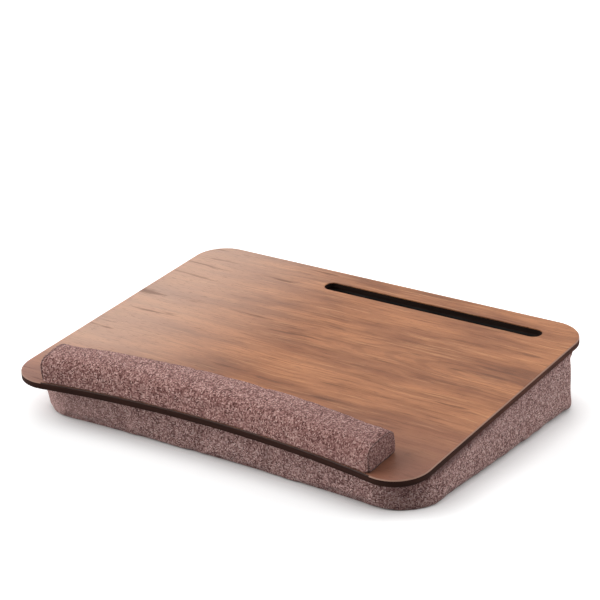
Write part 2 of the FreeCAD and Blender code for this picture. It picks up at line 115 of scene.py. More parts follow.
def feed(node, **inputs):
    """Give a node's inputs, by name or number, their values or the fields that feed them."""
    for name, value in inputs.items():
        numbered = name[:2] == "in" and name[2:].isdigit()
        socket = node.inputs[int(name[2:]) if numbered else name.replace("_", " ")]
        if isinstance(value, Field):
            started[-1].node_tree.links.new(value.socket, socket)
        else:
            socket.default_value = value


def put(kind, output=0, settings=None, **inputs):
    """Add a node to what was started last, and give one of its outputs."""
    node = started[-1].node_tree.nodes.new("ShaderNode" + kind)
    for name, value in (settings or {}).items():
        setattr(node, name, value)
    feed(node, **inputs)
    return Field(node.outputs[output])


def number(operation, *values):
    """One sum on fields and numbers."""
    numbered = {f"in{index}": value for index, value in enumerate(values)}
    return put("Math", 0, {"operation": operation}, **numbered)


def between(value, low, high, out_low=0.0, out_high=1.0):
    """A field's share of the way from low to high, kept inside them and spread between two others."""
    return put("MapRange", 0, {"clamp": True, "interpolation_type": "SMOOTHSTEP"}, Value=value,
               From_Min=low, From_Max=high, To_Min=out_low, To_Max=out_high)


def blend(share, first, second):
    """Two colours mixed by a share."""
    return put("Mix", 2, {"data_type": "RGBA"}, in0=share, in6=first, in7=second)


def parts_of(place):
    """A place or a facing taken apart into x, y and z."""
    return [Field(part) for part in put("SeparateXYZ", Vector=place).socket.node.outputs]


def point_of():
    """The place on a piece, measured on the piece itself, whole and as x, y and z."""
    place = put("TexCoord", "Object")
    return [place] + parts_of(place)


def new_material(name):
    """Start a material. The nodes put next go into it."""
    started.append(bpy.data.materials.new(name))
    started[-1].use_nodes = True


def finished(**inputs):
    """Feed the plain shader of the material started last, and give that material."""
    feed(started[-1].node_tree.nodes["Principled BSDF"], **inputs)
    return started[-1]


def table_material():
    """White table that keeps the soft shadow and looks as bright as the room to the camera, with a painted
    contact shade near the desk and painted light beside its right side.
    """
    new_material("white_table")
    material = finished(Base_Color=shade(205, 205, 205), Roughness=0.9, Specular_IOR_Level=0.1)
    tree = material.node_tree
    # Painted contact shade: the table's colour and glow darken where the desk closes it in.
    open_sky = put("AmbientOcclusion", "AO", {"samples": 8}, Distance=table_contact)
    white = put("BsdfDiffuse", Color=blend(open_sky, shade(176, 170, 169), shade(252, 252, 252)))
    place, x, y, z = point_of()
    # Painted light: the table is brighter beside the desk's right side, most of all towards the front.
    right_side_painted_light = between(x, 0.18, 0.212, 0.0, table_right_painted_light) * between(y, -0.07, 0.05, 1.0, 0.4)
    lift = put("Emission", Color=(1, 1, 1, 1), Strength=open_sky * (right_side_painted_light + table_lift))
    both = put("AddShader", in0=white, in1=lift)
    plain = Field(tree.nodes["Principled BSDF"].outputs[0])
    seen = put("MixShader", in0=put("LightPath", "Is Camera Ray"), in1=plain, in2=both)
    feed(tree.nodes["Material Output"], Surface=seen)
    return material


def build_table():
    """A wide flat sheet under the desk."""
    half = table_size / 2
    mesh = bpy.data.meshes.new("table")
    corners = [(-half, -half, 0), (half, -half, 0), (half, half, 0), (-half, half, 0)]
    mesh.from_pydata(corners, [], [(0, 1, 2, 3)])
    table = bpy.data.objects.new("table", mesh)
    scene.collection.objects.link(table)
    table.location.z = cad_box[0].z - table_drop
    mesh.materials.append(table_material())


def build_room():
    """Soft light from all round, dimmer towards the desk's front right, and seen as plain white."""
    scene.world = bpy.data.worlds.new("room")
    scene.world.use_nodes = True
    started.append(scene.world)
    tree = scene.world.node_tree
    direction = put("TexCoord", "Generated")
    toward = put("VectorMath", "Value", {"operation": "DOT_PRODUCT"}, in0=direction, in1=dim_side)
    light = tree.nodes["Background"]
    feed(light, Color=(1, 1, 1, 1), Strength=between(toward, 0.1, 0.9, room_light, room_dim))
    white = put("Background", Color=(1, 1, 1, 1), Strength=1.0)
    clear = number("MAXIMUM", put("LightPath", "Is Camera Ray"), put("LightPath", "Is Transmission Ray"))
    clear = number("MAXIMUM", clear, put("LightPath", "Is Glossy Ray"))
    seen = put("MixShader", in0=clear, in1=Field(light.outputs[0]), in2=white)
    feed(tree.nodes["World Output"], Surface=seen)


def add_light(name, strength, spread, source):
    """A broad soft light that shines the same way all over the table, from the side of its source."""
    lamp = bpy.data.lights.new(name, "SUN")
    lamp.energy = strength
    lamp.angle = math.radians(spread)
    holder = bpy.data.objects.new(name, lamp)
    holder.rotation_euler = Vector(source).to_track_quat("Z", "Y").to_euler()
    scene.collection.objects.link(holder)


build_table()
build_room()
for light_name, setting in lights.items():
    add_light(light_name, *setting)
camera_data = bpy.data.cameras.new("camera")
camera_data.sensor_width = camera_sensor
camera_data.lens = camera_lens
camera = bpy.data.objects.new("camera", camera_data)
camera.location = camera_place
camera.rotation_euler = (math.radians(camera_tilt), 0, math.radians(camera_turn))
scene.collection.objects.link(camera)
scene.camera = camera
scene.view_settings.view_transform = "Standard"


# Lap board: a fibreboard core between a printed walnut sheet and a plain one.
# A dark strip is glued round the edge under the rim of the top sheet, whose
# bevelled edge shows as a thin pale line: partly its pale core and partly a painted highlight.
board_slope = math.radians(5.2)
slope_rise, slope_sin, slope_cos = math.tan(board_slope), math.sin(board_slope), math.cos(board_slope)
slot_margin = 0.004
slot_low, slot_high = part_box("slot_trough")
under_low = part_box("under_laminate")[0]
palm_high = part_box("palm_cover")[1]
palm_half = palm_high.x


def vector(x, y, z=0.0):
    """Three numbers or fields joined to a place."""
    return put("CombineXYZ", X=x, Y=y, Z=z)


def cloudy(place, scale, detail=2.0, roughness=0.5, distortion=0.0):
    """Smooth random values about a half."""
    return put("TexNoise", "Fac", Vector=place, Scale=scale, Detail=detail, Roughness=roughness,
               Distortion=distortion)


def colours(value, stops):
    """A colour for each value, from a few stops of place and colour."""
    ramp = put("ValToRGB", "Color", Fac=value)
    band = ramp.socket.node.color_ramp
    while len(band.elements) < len(stops):
        band.elements.new(0.5)
    for element, (place, seen) in zip(band.elements, stops):
        element.position = place
        element.color = shade(*seen)
    return ramp


def relief(height, depth, strength):
    """The facing of a surface out of which a height stands by a depth in metres."""
    return put("Bump", Height=height, Distance=depth, Strength=strength)


def walnut_laminate():
    """Printed walnut: warm and dark clouds, faint arches, short fine lines and pores along the grain, with
    painted shade at the front, a painted reflection on the left and a partly painted highlight on the rim.
    """
    new_material("walnut_laminate")
    place, x, y, z = point_of()
    y_grain = cloudy(vector(x * 6.0, y * 5.0), 1.0, 3.0) * 0.016 + y

    def grained(along, across, seed, detail=3.0, roughness=0.55):
        return cloudy(vector(x * along, y_grain * across, seed), 1.0, detail, roughness)

    base = colours(grained(5.5, 26.0, 0.0, 5.0, 0.60),
                   [(0.30, (122, 77, 54)), (0.42, (153, 99, 68)), (0.52, (176, 117, 80)),
                    (0.63, (194, 132, 91)), (0.78, (208, 150, 106))])
    band = grained(2.4, 70.0, 5.1, 4.0, 0.6)
    base = blend(between(band, 0.48, 0.70, 0.0, 0.45), base, shade(124, 77, 53))
    from_heart = y_grain - 0.040
    from_tip = (x - 0.185) * 0.17
    arch = number("SQRT", from_heart * from_heart + from_tip * from_tip)
    rings = between(number("SINE", arch * 1100.0), 0.0, 1.0) * between(arch, 0.010, 0.050, 1.0, 0.0)
    base = blend(rings * 0.30, base, shade(112, 70, 50))
    line = grained(20.0, 640.0, 2.2, 4.0, 0.62)
    base = blend(between(line, 0.50, 0.72, 0.0, 0.58), base, shade(110, 70, 51))
    pale = grained(16.0, 300.0, 7.7, 4.0, 0.62)
    base = blend(between(pale, 0.54, 0.74, 0.0, 0.42), base, shade(222, 166, 119))
    # Painted shade: the wood is darker and pinker towards the board's front.
    base = blend(between(x * -0.25 + y, -0.19, -0.07, 0.82, 0.0), base, shade(137, 92, 76))
    # Painted reflection: the board's left is paler, as if glossed by the light, and pinker towards its front.
    left_painted_reflection = blend(between(y, -0.14, -0.06), shade(170, 133, 124), shade(224, 192, 174))
    base = blend(between(x, -0.22, 0.0, 0.58, 0.0), base, left_painted_reflection)
    streak = grained(12.0, 130.0, 4.4, 3.0, 0.6)
    base = blend(between(streak, 0.61, 0.72, 0.0, 0.55), base, shade(94, 57, 41))
    pore = between(grained(110.0, 1700.0, 1.9, 1.0, 0.5), 0.62, 0.72)
    base = blend(pore * 0.45, base, shade(86, 52, 39))
    facing = parts_of(put("TexCoord", "Normal"))
    lean = facing[2] * slope_cos + facing[1] * -slope_sin
    at_slot = number("LESS_THAN", abs(x), slot_high.x + slot_margin)
    at_slot = at_slot * number("GREATER_THAN", y, slot_low.y - slot_margin)
    at_slot = at_slot * number("LESS_THAN", y, slot_high.y + slot_margin)
    # The rim's pale line is partly the sheet's pale core and partly a painted highlight; where the palm rest
    # covers the edge it is dark painted shade.
    rim = between(lean, 0.80, 0.97, 0.92, 0.0) * (1.0 - at_slot)
    under_palm = number("LESS_THAN", abs(x), palm_half) * number("LESS_THAN", y, palm_high.y)
    edge = blend(under_palm, shade(173, 135, 118), shade(44, 29, 25))
    return finished(Base_Color=blend(rim, base, edge), Roughness=between(line, 0.3, 0.8, 0.44, 0.56),
                    Specular_IOR_Level=0.14, Normal=relief(line * -0.5 - pore, 0.00012, 0.5))


def dark_edge(name, seen, roughness, front=0.0):
    """Dark brown strip with the faint saw marks and dust of a trimmed edge, with painted shade darkening it
    towards the desk's front.
    """
    new_material(name)
    place, x, y, z = point_of()
    marks = cloudy(vector(x * 40.0, y * 40.0, z * 900.0), 1.0, 3.0)
    dust = between(cloudy(place, 900.0, 3.0, 0.6), 0.60, 0.78, 0.0, 0.35)
    deep, light, dusty = [[value * share for value in seen] for share in (0.72, 1.30, 1.7)]
    tone = blend(dust, colours(marks, [(0.3, deep), (0.55, seen), (0.8, light)]), shade(*dusty))
    if front:
        # Painted shade: the strip is darker towards the desk's front.
        tone = blend(between(y, -0.13, 0.02, front, 0.0), tone, shade(38, 23, 19))
    return finished(Base_Color=tone, Roughness=between(marks, 0.2, 0.8, roughness - 0.06, roughness + 0.08),
                    Specular_IOR_Level=0.06, Normal=relief(marks, 0.00008, 0.5))


def dress(names, material):
    """Give modelled pieces their finish."""
    for name in names:
        for place in nodes[name].material_slots:
            place.material = material


dress(["top_laminate"], walnut_laminate())
dress(["top_board"], dark_edge("painted_core", (44, 32, 28), 0.7))
dress(["under_laminate"], dark_edge("under_sheet", (58, 46, 41), 0.6))
dress(["edge_band"], dark_edge("edge_strip", (84, 53, 44), 0.55, 0.75))


# Tablet trough: a black moulding that hangs under the slot by its flange.
# The same fine-textured plastic makes the drawer's sleeve, bezel, stops and tray.
def moulded_plastic():
    """Black plastic with a fine spark-eroded texture and slight rubbed patches."""
    new_material("black_moulding")
    place = put("TexCoord", "Object")
    rubbed = cloudy(place, 38.0, 4.0, 0.6)
    return finished(Base_Color=colours(rubbed, [(0.3, (27, 26, 26)), (0.7, (38, 37, 37))]),
                    Roughness=between(rubbed, 0.3, 0.7, 0.40, 0.56),
                    Normal=relief(cloudy(place, 2400.0, 2.0, 0.6), 0.00004, 0.6))


black_moulding = moulded_plastic()
dress(["slot_trough"], black_moulding)


# Palm rest: a firm foam bar on a stiff strip, wrapped in heathered linen.
# It is taped to the board along the bowed front edge, and each end is closed
# by a small panel sewn in along the bar's outline.
thread_pitch = 0.00115
thread_shades = [(80, 46, 42), (122, 81, 76), (160, 115, 109), (191, 148, 140), (228, 192, 183)]
palm_setback = 0.0010
palm_depth = 0.0435
palm_wall = 0.0220
palm_crown = 0.0020
palm_shoulder = 0.0070
palm_end_round = 0.0016
palm_slack = 0.0004
palm_steps = 60
palm_skin = 0.0018
palm_hold = 0.0022
palm_limit = 0.0011
palm_least_bend = 0.0008
wall_steps = 6
bend_steps = 6
top_steps = 14
end_steps = 5
settle_quality = 5
settle_steps = 20
front_line = -0.172608
front_height = 0.0426
board_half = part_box("top_laminate")[1].x
board_bow = 0.0227
bow_radius = (board_half ** 2 + board_bow ** 2) / (2 * board_bow)
bow_centre = board_bow - bow_radius


def mix(share, first, second):
    """Two numbers or fields mixed by a share."""
    return put("Mix", 0, {"data_type": "FLOAT"}, in0=share, in2=first, in3=second)


def thread_lines():
    """Where a point lies across the two sets of threads, by the way that its face turns."""
    place, x, y, z = point_of()
    across, deep, up = [abs(part) for part in parts_of(put("TexCoord", "Normal"))]
    on_side = number("GREATER_THAN", across, deep)
    on_top = number("GREATER_THAN", up, number("MAXIMUM", across, deep))
    return mix(on_top, mix(on_side, x, y), x), mix(on_top, z, y)


def linen(name, spots, contrast, foot=0.0, mapped=False, seam=0.0):
    """Plain weave of uneven two-tone threads: each has its own shade, thick places and fuzz, with painted
    shade between them.

    The side cover is mapped, and darker with painted shade under the board, at its foot and at its front
    corner, and paler with painted light on its left. The palm rest has a sunk seam, and painted shade in that
    seam, on its right, on its end panels and as a dark line at its foot.
    """
    new_material(name)
    place, x, y, z = point_of()
    dark = shade(*spots[0])
    first, second = parts_of(put("UVMap", 0, {"uv_map": "cloth"}))[:2] if mapped else thread_lines()
    u = (cloudy(place, 260.0, 1.0) * (thread_pitch * 0.30) + first) / thread_pitch
    v = (cloudy(place, 230.0, 1.0) * (thread_pitch * 0.30) + second) / thread_pitch
    column, row = number("FLOOR", u), number("FLOOR", v)
    over = number("MODULO", abs(column + row), 2.0)
    warp_tone = cloudy(vector(column * 7.3, v * 0.22, 0.3), 1.0, 3.0, 0.75)
    weft_tone = cloudy(vector(u * 0.34, row * 7.3, 5.3), 1.0, 3.0, 0.75)
    speck = put("TexWhiteNoise", "Value", {"noise_dimensions": "2D"}, Vector=vector(column, row))
    tone = (mix(over, warp_tone, weft_tone) - 0.5) * (1.5 * contrast) + 0.5
    tone = tone + (speck - 0.5) * (0.52 * contrast) + (cloudy(place, 30.0, 2.0) - 0.5) * 0.12
    cloth = colours(tone, list(zip((0.18, 0.36, 0.50, 0.64, 0.84), spots)))
    round_u, round_v = abs(number("FRACT", u) - 0.5), abs(number("FRACT", v) - 0.5)
    side, end = mix(over, round_u, round_v), mix(over, round_v, round_u)
    body = 1.0 - side * side * 2.6 - end * end * 1.5
    # Painted shade between the threads: the cloth darkens where each thread rounds down.
    cloth = blend(between(body, 0.15, 0.70, 0.50, 0.0), cloth, dark)
    # Painted shade: the cloth darkens towards its foot by the table, along a wavering line.
    if foot:
        foot_shade_height = z + cloudy(place, 60.0, 2.0) * 0.006
        cloth = blend(between(foot_shade_height, 0.002, 0.011, foot, 0.0), cloth, dark)
    if mapped:
        # Painted shade under the board's overhang, reaching further down and darker near the front right
        # corner.
        drop = y * slope_rise + (under_low.z - under_low.y * slope_rise) - z
        corner = between(x, 0.125, 0.180) * between(y, -0.11, 0.09, 1.0, 0.0)
        shaded = between(drop * (corner * -0.55 + 1.0), 0.0015, 0.0085, 1.0, 0.0) * (corner * 0.26 + 0.66)
        # Painted light: the cover is paler towards the desk's left.
        cloth = blend(between(x, -0.18, -0.03, 0.26, 0.0), cloth, shade(*spots[3]))
        cloth = blend(shaded, cloth, dark)
        # Painted shade round the cover's front right corner.
        cloth = blend(between(y * -1.4 + x, 0.362, 0.394, 0.0, 0.80), cloth, dark)
    if seam:
        # Painted shade: the palm rest darkens towards its right end.
        cloth = blend(between(x, 0.0, 0.17, 0.0, 0.22), cloth, dark)
        from_end = seam - abs(x)
        # Painted shade in the sunk seam near each end.
        sunk = between(from_end, 0.0006, 0.0014) * between(from_end, 0.0016, 0.0026, 1.0, 0.0)
        cloth = blend(sunk * 0.78, cloth, shade(54, 32, 29))
        # Painted shade: the end panels are darker.
        cloth = blend(between(from_end, 0.0006, 0.0016, 0.30, 0.0), cloth, shade(70, 42, 38))
        # Painted contact shadow: a dark line along the foot of the end panels.
        above = z * slope_cos + (y * -slope_sin + (front_line * slope_sin - front_height * slope_cos))
        foot_contact_shade = between(above, 0.0016, 0.0036, 0.88, 0.0) * between(from_end, 0.0016, 0.0030, 1.0, 0.0)
        cloth = blend(foot_contact_shade, cloth, shade(36, 20, 17))
    return finished(Base_Color=cloth, Roughness=0.92, Specular_IOR_Level=0.18, Sheen_Weight=0.10,
                    Sheen_Roughness=0.55,
                    Normal=relief(body + cloudy(place, 3200.0, 2.0, 0.6) * 0.45, 0.00035, 0.6))


def piece_from(name, points, faces, material):
    """A new piece from points and faces."""
    mesh = bpy.data.meshes.new(name)
    mesh.from_pydata(points, [], faces)
    mesh.validate()
    mesh.materials.append(material)
    mesh.polygons.foreach_set("use_smooth", [True] * len(mesh.polygons))
    piece = bpy.data.objects.new(name, mesh)
    scene.collection.objects.link(piece)
    return piece


def quads(lines, size, round_lines=False, round_size=False, turned=False, start=0):
    """Faces between neighbouring lines of points, closed round either way and turned over if asked."""
    faces = []
    for line in range(lines if round_lines else lines - 1):
        low, high = start + line * size, start + (line + 1) % lines * size
        for index in range(size if round_size else size - 1):
            after = (index + 1) % size
            if turned:
                faces.append((low + index, low + after, high + after, high + index))
            else:
                faces.append((low + index, high + index, high + after, low + after))
    return faces


def rework(piece, kind, **settings):
    """Change a piece's mesh by one modifier, for good."""
    modifier = piece.modifiers.new(kind.lower(), kind)
    for name, value in settings.items():
        setattr(modifier, name, value)
    bpy.context.view_layer.update()
    final = bpy.data.meshes.new_from_object(piece.evaluated_get(bpy.context.evaluated_depsgraph_get()))
    piece.modifiers.clear()
    piece.data = final
    final.polygons.foreach_set("use_smooth", [True] * len(final.polygons))


def settle(piece, held, push, spare, limit):
    """Let a cover find its shape over its filling, held points fixed and no point moved past the limit."""
    group = piece.vertex_groups.new(name="held")
    group.add(held, 1.0, "REPLACE")
    cut = [point.co.copy() for point in piece.data.vertices]
    cover = piece.modifiers.new("cover", "CLOTH")
    cloth = cover.settings
    cloth.vertex_group_mass = "held"
    cloth.quality = settle_quality
    cloth.use_pressure = True
    cloth.uniform_pressure_force = push
    cloth.shrink_min = -spare
    cloth.effector_weights.gravity = 0
    cover.point_cache.frame_end = settle_steps
    for step in range(1, settle_steps + 1):
        scene.frame_set(step)
    settled = piece.evaluated_get(bpy.context.evaluated_depsgraph_get()).to_mesh()
    places = [point.co.copy() for point in settled.vertices]
    piece.modifiers.remove(cover)
    piece.vertex_groups.remove(group)
    scene.frame_set(1)
    for point, start, end in zip(piece.data.vertices, cut, places):
        move = end - start
        if move.length > limit:
            move *= limit / move.length
        point.co = start + move


def facings_of(piece):
    """The way that each point of a piece faces, kept while the points are moved."""
    return [point.normal.copy() for point in piece.data.vertices]


def on_slope(across, along, above):
    """A place over the board's front line, turned to the board's slope."""
    y = along * slope_cos - above * slope_sin
    z = along * slope_sin + above * slope_cos
    return Vector((across, front_line + y, front_height + z))


def quarter(radius, steps):
    """A quarter turn in even steps: at each, what is left one way and gone the other way."""
    turns = [math.pi / 2 * step / steps for step in range(steps + 1)]
    return [(radius * (1 - math.sin(turn)), radius * (1 - math.cos(turn))) for turn in turns]


def palm_section(inset):
    """The bar's outline from front to rear, as pairs of depth and height."""
    front, rear = inset, palm_depth - inset
    top = palm_wall - inset
    bend = max(palm_shoulder - inset, palm_least_bend)
    bends = [(gone, top - left) for left, gone in quarter(bend, bend_steps)[1:-1]]
    walls = [(top - bend) * share / wall_steps for share in range(wall_steps + 1)]
    flat = rear - front - 2 * bend
    outline = [(front, high) for high in walls]
    outline += [(front + deep, high) for deep, high in bends]
    outline += [(front + bend + flat * (step / top_steps), top) for step in range(top_steps + 1)]
    outline += [(rear - deep, high) for deep, high in reversed(bends)]
    outline += [(rear, high) for high in reversed(walls)]
    crowned = []
    for deep, high in outline:
        share = (deep - palm_depth / 2) / (palm_depth / 2)
        crowned.append((deep, high + palm_crown * (1 - share ** 2) * high / palm_wall))
    return crowned


def board_place(point):
    """Where a point lies over the board: across, back from the front line, and above its top face."""
    y, z = point.y - front_line, point.z - front_height
    along = y * slope_cos + z * slope_sin
    above = z * slope_cos - y * slope_sin
    return point.x, along, above


def hump(value, width, middle=0.0):
    """1 at the middle, falling smoothly to 0 past the width."""
    return math.exp(-((value - middle) / width) ** 2)


def uneven(*place):
    """Smooth random values about 0, the same in every run."""
    return noise.noise(Vector(place))


def shape_palm(point, normal):
    """Seat the bar on the board, sew in its end panels and add the foam's slight unevenness."""
    across, along, above = board_place(point.co)
    deep = math.hypot(across, along - bow_centre) - bow_radius - palm_setback
    wave = uneven(across * 22, deep * 30, 0.7) * 0.00045
    wave += uneven(across * 70, deep * 60, above * 60) * 0.00016
    move = normal * wave * min(1.0, above / 0.006)
    from_end = palm_half - abs(across)
    if above > 0.003:
        move -= normal * 0.00050 * hump(from_end, 0.0009, 0.0030)
    corner = hump(from_end, 0.0015, 0.0020) * hump(deep, 0.0030)
    move -= normal * 0.0010 * corner * hump(above, 0.012)
    if across < 0:
        move.x -= 0.0035 * min(1.0, max(deep, 0.0) / 0.030) * hump(from_end, 0.012)
    low = max(0.0, 1.0 - above / 0.0030) ** 2
    move -= Vector((normal.x, 0, 0)) * 0.0018 * low * hump(from_end, 0.0015)
    if deep < 0.002 and from_end > 0.003:
        move += Vector((0, -0.0011, 0)) * hump(above, 0.006)
    point.co += move
    above = board_place(point.co)[2]
    if above < 0.0003:
        point.co += Vector((0, -slope_sin, slope_cos)) * (0.0001 - above)


def build_palm_rest():
    """Loft the bar, skin it evenly, let the cover settle, then draw in the end seams."""
    stations = quarter(palm_end_round, end_steps)
    inner = palm_half - palm_end_round
    places = [(-palm_half + out, inset) for inset, out in stations]
    places += [(-inner + 2 * inner * step / palm_steps, 0.0) for step in range(1, palm_steps)]
    places += [(palm_half - out, inset) for inset, out in reversed(stations)]
    points = []
    for across, inset in places:
        for deep, high in palm_section(inset + palm_slack):
            radius = bow_radius + palm_setback + deep
            points.append(on_slope(across, bow_centre + math.sqrt(radius ** 2 - across ** 2), high))
    ring = len(palm_section(0.0))
    faces = quads(len(places), ring, round_size=True)
    faces += [tuple(range(ring)), tuple(reversed(range(len(points) - ring, len(points))))]
    palm = piece_from("palm_rest_cover", points, faces, palm_linen)
    rework(palm, "REMESH", mode="VOXEL", voxel_size=palm_skin)
    held = [point.index for point in palm.data.vertices if board_place(point.co)[2] < palm_hold]
    settle(palm, held, 4.0, 0.012, palm_limit)
    rework(palm, "SUBSURF", levels=1, render_levels=1)
    for point, facing in zip(palm.data.vertices, facings_of(palm)):
        shape_palm(point, facing)
    palm.data.update()
    return palm


palm_linen = linen("palm_linen", thread_shades, 0.85, seam=palm_half)
palm_rest = build_palm_rest()
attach(palm_rest, "desk")
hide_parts("palm_cover", "palm_foam")


def raw_hardboard():
    """Pressed brown fibres, slightly mottled, with a faint screen pattern."""
    new_material("hardboard")
    place = put("TexCoord", "Object")
    fibre = cloudy(place, 1600.0, 3.0, 0.6)
    mottle = cloudy(place, 120.0, 5.0, 0.65)
    tone = colours(mottle, [(0.3, (112, 82, 58)), (0.55, (134, 100, 72)), (0.75, (152, 118, 86))])
    tone = blend(between(fibre, 0.5, 0.8, 0.0, 0.5), tone, shade(84, 58, 40))
    return finished(Base_Color=tone, Roughness=0.85, Normal=relief(fibre, 0.00010, 0.6))


def adhesive_tape():
    """Off-white film tape with faint bubbles under it."""
    new_material("adhesive_tape")
    bubble = cloudy(put("TexCoord", "Object"), 420.0, 2.0)
    tone = colours(bubble, [(0.35, (214, 206, 190)), (0.7, (232, 226, 212))])
    return finished(Base_Color=tone, Roughness=0.38, Normal=relief(bubble, 0.00006, 0.5))


hardboard = raw_hardboard()
tape_film = adhesive_tape()
dress(["palm_backing"], hardboard)
dress(["palm_tape"], tape_film)


# Carrier plate: the hardboard top of the cushion, taped under the lap board.
# The cover's hem is turned in over it and stapled down all round.
def worked_surface(name, stretch, detail, low, high, span, roughness, metal=0.0):
    """Metal or hard plastic with fine marks: their stretch, detail, two colours and roughness over a span."""
    new_material(name)
    place, x, y, z = point_of()
    marks = cloudy(vector(x * stretch[0], y * stretch[1], z * stretch[2]), 1.0, detail)
    return finished(Base_Color=colours(marks, [(0.3, low), (0.7, high)]), Metallic=metal,
                    Roughness=between(marks, *span, *roughness))


plated_steel = worked_surface("plated_steel", (300.0, 2600.0, 2600.0), 2.0, (150, 151, 154), (196, 197, 199),
                              (0.2, 0.8), (0.26, 0.42), 1.0)
dress(["carrier_plate"], hardboard)
dress(["mounting_tapes"], tape_film)
dress(["cover_staples"], plated_steel)


# Wedge cushion: firm foam in a cover of the same linen, pulled tight and
# stapled over the carrier plate. The side panel turns under with a soft edge
# and is sewn to a dark non-slip panel. The drawer's mouth is cut in its left.
cushion_depth = 0.3041
cushion_bow = 0.0075
cushion_front_corner = 0.0430
cushion_rear_corner = 0.0300
cushion_edge = 0.0060
cover_step = 0.0034
cover_thickness = 0.0010
cover_lift = 0.00005
rim_turn = 0.0016
hem_width = 0.0115
rim_gap = 0.0004
wall_rows = 14
round_rows = 5
turn_rows = 3
hem_rows = 3
mouth_rows = 7
mouth_reach = 0.004
bezel_lap = 0.0040
cushion_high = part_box("cover_wall")[1]
bezel_low, bezel_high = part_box("drawer_bezel")
mouth_low = bezel_low + Vector((0, bezel_lap, bezel_lap))
mouth_high = bezel_high - Vector((0, bezel_lap, bezel_lap))
cushion_half = cushion_high.x
cushion_rear = cushion_high.y
cushion_front = cushion_rear - cushion_depth
staple_step = 0.058
pleat_step = 0.0190
# The cover's linen is the palm rest's cloth with lighter shades: painted light on the cushion's sides.
side_shades = [(84, 53, 50), (128, 92, 88), (166, 127, 122), (199, 161, 155), (234, 206, 198)]


def run_of(length):
    """How many even steps a stretch of the cover has."""
    return max(2, round(length / cover_step))


def bend_points(centre, radius, start, end):
    """Points round a corner, each with the way that it faces."""
    count = run_of(radius * abs(end - start))
    turns = [start + (end - start) * step / count for step in range(count)]
    facings = [Vector((math.cos(turn), math.sin(turn))) for turn in turns]
    return [(Vector(centre) + facing * radius, facing) for facing in facings]


def line_points(start, end, facing):
    """Points along a straight side, each with the way that it faces."""
    start, end, facing = Vector(start), Vector(end), Vector(facing)
    count = run_of((end - start).length)
    return [(start.lerp(end, step / count), facing) for step in range(count)]


def cushion_outline():
    """The cushion's plan and its facings: along the bowed front, the right side, the rear and the left."""
    radius = (cushion_half ** 2 + cushion_bow ** 2) / (2 * cushion_bow)
    pivot = Vector((0, cushion_front + cushion_bow - radius))
    reach = cushion_half - cushion_front_corner
    high = pivot.y + math.sqrt((radius + cushion_front_corner) ** 2 - reach ** 2)
    lean = math.atan2(reach, high - pivot.y)
    count = run_of(2 * lean * radius)
    outline = []
    for step in range(count):
        angle = -lean + 2 * lean * step / count
        facing = Vector((-math.sin(angle), -math.cos(angle)))
        outline.append((pivot - facing * radius, facing))
    outline += bend_points((reach, high), cushion_front_corner, -math.pi / 2 - lean, 0)
    rear_reach = cushion_half - cushion_rear_corner
    rear_high = cushion_rear - cushion_rear_corner
    outline += line_points((cushion_half, high), (cushion_half, rear_high), (1, 0))
    outline += bend_points((rear_reach, rear_high), cushion_rear_corner, 0, math.pi / 2)
    outline += line_points((rear_reach, cushion_rear), (-rear_reach, cushion_rear), (0, 1))
    outline += bend_points((-rear_reach, rear_high), cushion_rear_corner, math.pi / 2, math.pi)
    stops = [rear_high, mouth_high.y, mouth_low.y, high]
    for start, end in zip(stops, stops[1:]):
        outline += line_points((-cushion_half, start), (-cushion_half, end), (-1, 0))
    outline += bend_points((-reach, high), cushion_front_corner, math.pi, 3 * math.pi / 2 + lean)
    return outline


def under_board(y):
    """The height of the board's lower face at a place."""
    return under_low.z + (y - under_low.y) * slope_rise


def near_mouth(y, ahead, behind):
    """1 beside the drawer's mouth and 0 well in front of or behind it."""
    away = max((mouth_low.y - y) / ahead, (y - mouth_high.y) / behind, 0.0)
    share = max(0.0, 1.0 - away)
    return share * share * (3 - 2 * share)


def wall_heights(point, facing):
    """The heights of the wall's rows on one line up the cover, level beside the drawer's mouth."""
    top = under_board(point.y) - rim_gap - rim_turn
    even = [cushion_edge + (top - cushion_edge) * row / wall_rows for row in range(1, wall_rows + 1)]
    if facing.x > -0.999:
        return even
    low, high = mouth_low.z, mouth_high.z
    over_rows = wall_rows - mouth_rows - 1
    level = [low + (high - low) * row / mouth_rows for row in range(mouth_rows + 1)]
    level += [high + (top - high) * row / over_rows for row in range(1, over_rows + 1)]
    share = near_mouth(point.y, 0.05, 0.014)
    return [a + (b - a) * share for a, b in zip(even, level)]


def cover_line(point, facing):
    """One line of points from the bottom seam up the wall and in over the carrier plate."""
    line = quarter(cushion_edge, round_rows)
    line += [(0.0, height) for height in wall_heights(point, facing)]
    rim = under_board(point.y) - rim_gap
    line += [(gone, rim - left) for left, gone in quarter(rim_turn, turn_rows)[1:]]
    made = [(point - facing * inset).to_3d() + Vector((0, 0, height + cover_lift)) for inset, height in line]
    for row in range(1, hem_rows + 1):
        place = point - facing * (rim_turn + (hem_width - rim_turn) * row / hem_rows)
        made.append(Vector((place.x, place.y, under_board(place.y) - rim_gap)))
    return made


def lay_threads(cover, outline, lines):
    """Map the cover: how far round the cushion each point lies, and how far up the cloth."""
    count, rows = len(lines), len(lines[0])
    around = [0.0]
    for column in range(count):
        around.append(around[-1] + (outline[(column + 1) % count][0] - outline[column][0]).length)
    laid = cover.data.uv_layers.new(name="cloth")
    for face in cover.data.polygons:
        column, row = divmod(face.index, rows - 1)
        for corner, (ahead, up) in zip(face.loop_indices, ((0, 0), (1, 0), (1, 1), (0, 1))):
            line = lines[(column + ahead) % count]
            climbed = sum((line[step + 1] - line[step]).length for step in range(row + up))
            laid.data[corner].uv = (around[column + ahead], climbed)


